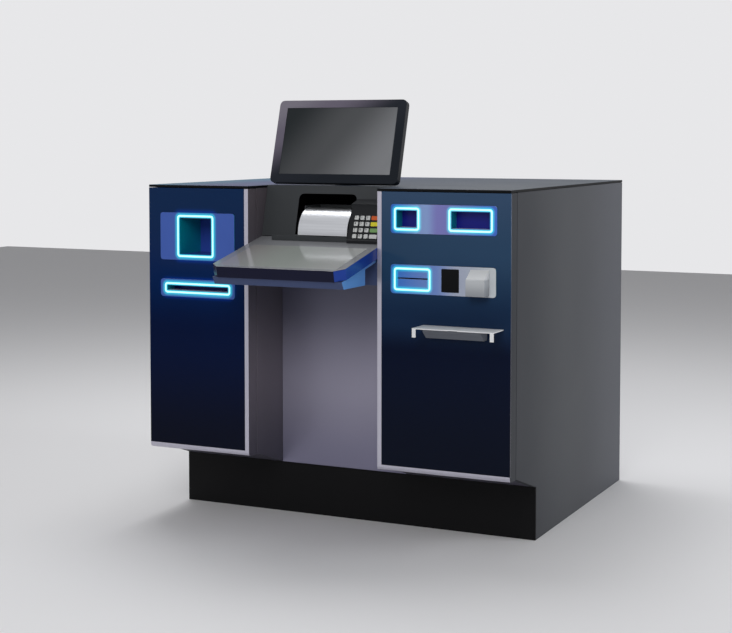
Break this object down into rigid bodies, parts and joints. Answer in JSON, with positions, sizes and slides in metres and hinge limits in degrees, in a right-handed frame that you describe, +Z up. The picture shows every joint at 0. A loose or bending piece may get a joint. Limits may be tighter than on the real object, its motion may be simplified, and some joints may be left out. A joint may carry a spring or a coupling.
{
  "type": "self-service cash recycler kiosk",
  "caption": "Self-service cash recycler kiosk with hinged glass fascia doors, sloped desk, keypad, drum shutter, tilting monitor and a rear safe.",
  "frame": {"origin": "centre of the plinth's underside, on the floor", "axes": "+Z up, front towards -Y, +X to the right of someone facing the front"},
  "size_m": [1.266, 1.411, 1.3765],
  "materials": {
    "black_paint": "satin black powder coat",
    "grey_paint": "fine textured grey powder coat",
    "bay_paint": "satin grey",
    "satin_paint": "satin lilac grey",
    "blue_glass": "back-painted deep blue glass",
    "trim_metal": "satin anodised",
    "bezel": "gloss periwinkle blue",
    "light_ring": "lit light guide",
    "charcoal": "fine grain",
    "grey_plastic": "fine grain",
    "white_paint": "satin white",
    "brushed_steel": "brushed along its length",
    "navy": "gloss navy",
    "pad_glass": "dark gloss touch glass",
    "screen_glass": "gloss black display",
    "safe_steel": "satin",
    "module_plastic": "moulded",
    "key_steel": "satin key cap",
    "red_key": "key cap",
    "yellow_key": "key cap",
    "green_key": "key cap"
  },
  "bodies": {
    "cabinet": {"plinth_base": "black_paint", "side_panel_left": "grey_paint", "side_panel_right": "grey_paint", "left_bay_wall": "bay_paint", "right_bay_wall": "bay_paint", "counter_top": "black_paint", "rear_frame": "grey_paint", "console_panel": "charcoal", "drum_cradle": "charcoal", "keypad_housing": "charcoal", "desk_tray": "navy", "desk_glass": "pad_glass", "desk_support": "navy", "monitor_mount": "charcoal", "safe_body": "safe_steel", "recycler_head": "module_plastic", "cassette_1": "module_plastic", "cassette_2": "module_plastic", "cassette_3": "module_plastic"},
    "rear_door": {"rear_door": "grey_paint"},
    "left_door": {"left_door_frame": "trim_metal", "left_door_glass": "blue_glass", "cash_pocket": "bezel", "cash_pocket_light": "light_ring", "deposit_slot": "bezel", "deposit_slot_light": "light_ring"},
    "cash_shutter": {"cash_shutter": "charcoal"},
    "right_door": {"right_door_frame": "trim_metal", "right_door_glass": "blue_glass", "note_module": "bezel", "receipt_mouth_light": "light_ring", "note_mouth_light": "light_ring", "card_module": "bezel", "card_slot_light": "light_ring", "contactless_reader": "charcoal", "scanner_hood": "grey_plastic", "bag_shelf": "white_paint", "shelf_bracket": "grey_plastic"},
    "drum_shutter": {"drum_shutter": "brushed_steel"},
    "centre_door": {"centre_door": "satin_paint"},
    "monitor": {"monitor_housing": "charcoal", "monitor_screen": "screen_glass"},
    "safe_door": {"safe_door": "safe_steel"},
    "safe_handle": {"safe_handle": "brushed_steel"},
    "key_row1_1": {"key_row1_1": "key_steel"},
    "key_row1_2": {"key_row1_2": "key_steel"},
    "key_row1_3": {"key_row1_3": "key_steel"},
    "key_row2_1": {"key_row2_1": "key_steel"},
    "key_row2_2": {"key_row2_2": "key_steel"},
    "key_row2_3": {"key_row2_3": "key_steel"},
    "key_row3_1": {"key_row3_1": "key_steel"},
    "key_row3_2": {"key_row3_2": "key_steel"},
    "key_row3_3": {"key_row3_3": "key_steel"},
    "key_row4_1": {"key_row4_1": "key_steel"},
    "key_row4_2": {"key_row4_2": "key_steel"},
    "key_row4_3": {"key_row4_3": "key_steel"},
    "key_cancel": {"key_cancel": "red_key"},
    "key_clear": {"key_clear": "yellow_key"},
    "key_enter": {"key_enter": "green_key"},
    "key_blank": {"key_blank": "grey_plastic"}
  },
  "joints": [
    {"name": "rear_door_hinge", "type": "hinge", "parent": "cabinet", "child": "rear_door", "pos_m": [0.6122, 0.466, 0.6], "axis": [0, 0, -1], "range_deg": [0, 110]},
    {"name": "safe_door_hinge", "type": "hinge", "parent": "cabinet", "child": "safe_door", "pos_m": [-0.603, 0.466, 0.342], "axis": [0, 0, 1], "range_deg": [0, 110]},
    {"name": "safe_handle_turn", "type": "hinge", "parent": "safe_door", "child": "safe_handle", "pos_m": [-0.342, 0.466, 0.342], "axis": [0, 1, 0], "range_deg": [0, 90]},
    {"name": "left_door_hinge", "type": "hinge", "parent": "cabinet", "child": "left_door", "pos_m": [-0.633, -0.648, 0.6], "axis": [0, 0, -1], "range_deg": [0, 100]},
    {"name": "cash_shutter_flap", "type": "hinge", "parent": "left_door", "child": "cash_shutter", "pos_m": [-0.4545, -0.69, 0.99], "axis": [-1, 0, 0], "range_deg": [0, 90]},
    {"name": "right_door_hinge", "type": "hinge", "parent": "cabinet", "child": "right_door", "pos_m": [0.633, -0.648, 0.6], "axis": [0, 0, 1], "range_deg": [0, 100]},
    {"name": "drum_turn", "type": "hinge", "parent": "cabinet", "child": "drum_shutter", "pos_m": [-0.0187, -0.564, 0.948], "axis": [-1, 0, 0], "range_deg": [0, 70]},
    {"name": "centre_door_hinge", "type": "hinge", "parent": "cabinet", "child": "centre_door", "pos_m": [-0.2568, -0.476, 0.48], "axis": [0, 0, -1], "range_deg": [0, 90]},
    {"name": "monitor_tilt", "type": "hinge", "parent": "cabinet", "child": "monitor", "pos_m": [-0.0356, -0.45339, 1.20602], "axis": [-1, 0, 0], "range_deg": [0, 15]},
    {"name": "key_row1_1_press", "type": "slide", "parent": "cabinet", "child": "key_row1_1", "axis": [0, 0.9478, -0.319], "range_m": [0, 0.0018], "stiffness_N_per_m": 400, "springref_m": -0.001},
    {"name": "key_row1_2_press", "type": "slide", "parent": "cabinet", "child": "key_row1_2", "axis": [0, 0.9478, -0.319], "range_m": [0, 0.0018], "stiffness_N_per_m": 400, "springref_m": -0.001},
    {"name": "key_row1_3_press", "type": "slide", "parent": "cabinet", "child": "key_row1_3", "axis": [0, 0.9478, -0.319], "range_m": [0, 0.0018], "stiffness_N_per_m": 400, "springref_m": -0.001},
    {"name": "key_row2_1_press", "type": "slide", "parent": "cabinet", "child": "key_row2_1", "axis": [0, 0.9478, -0.319], "range_m": [0, 0.0018], "stiffness_N_per_m": 400, "springref_m": -0.001},
    {"name": "key_row2_2_press", "type": "slide", "parent": "cabinet", "child": "key_row2_2", "axis": [0, 0.9478, -0.319], "range_m": [0, 0.0018], "stiffness_N_per_m": 400, "springref_m": -0.001},
    {"name": "key_row2_3_press", "type": "slide", "parent": "cabinet", "child": "key_row2_3", "axis": [0, 0.9478, -0.319], "range_m": [0, 0.0018], "stiffness_N_per_m": 400, "springref_m": -0.001},
    {"name": "key_row3_1_press", "type": "slide", "parent": "cabinet", "child": "key_row3_1", "axis": [0, 0.9478, -0.319], "range_m": [0, 0.0018], "stiffness_N_per_m": 400, "springref_m": -0.001},
    {"name": "key_row3_2_press", "type": "slide", "parent": "cabinet", "child": "key_row3_2", "axis": [0, 0.9478, -0.319], "range_m": [0, 0.0018], "stiffness_N_per_m": 400, "springref_m": -0.001},
    {"name": "key_row3_3_press", "type": "slide", "parent": "cabinet", "child": "key_row3_3", "axis": [0, 0.9478, -0.319], "range_m": [0, 0.0018], "stiffness_N_per_m": 400, "springref_m": -0.001},
    {"name": "key_row4_1_press", "type": "slide", "parent": "cabinet", "child": "key_row4_1", "axis": [0, 0.9478, -0.319], "range_m": [0, 0.0018], "stiffness_N_per_m": 400, "springref_m": -0.001},
    {"name": "key_row4_2_press", "type": "slide", "parent": "cabinet", "child": "key_row4_2", "axis": [0, 0.9478, -0.319], "range_m": [0, 0.0018], "stiffness_N_per_m": 400, "springref_m": -0.001},
    {"name": "key_row4_3_press", "type": "slide", "parent": "cabinet", "child": "key_row4_3", "axis": [0, 0.9478, -0.319], "range_m": [0, 0.0018], "stiffness_N_per_m": 400, "springref_m": -0.001},
    {"name": "key_cancel_press", "type": "slide", "parent": "cabinet", "child": "key_cancel", "axis": [0, 0.9478, -0.319], "range_m": [0, 0.0018], "stiffness_N_per_m": 400, "springref_m": -0.001},
    {"name": "key_clear_press", "type": "slide", "parent": "cabinet", "child": "key_clear", "axis": [0, 0.9478, -0.319], "range_m": [0, 0.0018], "stiffness_N_per_m": 400, "springref_m": -0.001},
    {"name": "key_enter_press", "type": "slide", "parent": "cabinet", "child": "key_enter", "axis": [0, 0.9478, -0.319], "range_m": [0, 0.0018], "stiffness_N_per_m": 400, "springref_m": -0.001},
    {"name": "key_blank_press", "type": "slide", "parent": "cabinet", "child": "key_blank", "axis": [0, 0.9478, -0.319], "range_m": [0, 0.0018], "stiffness_N_per_m": 400, "springref_m": -0.001}
  ]
}
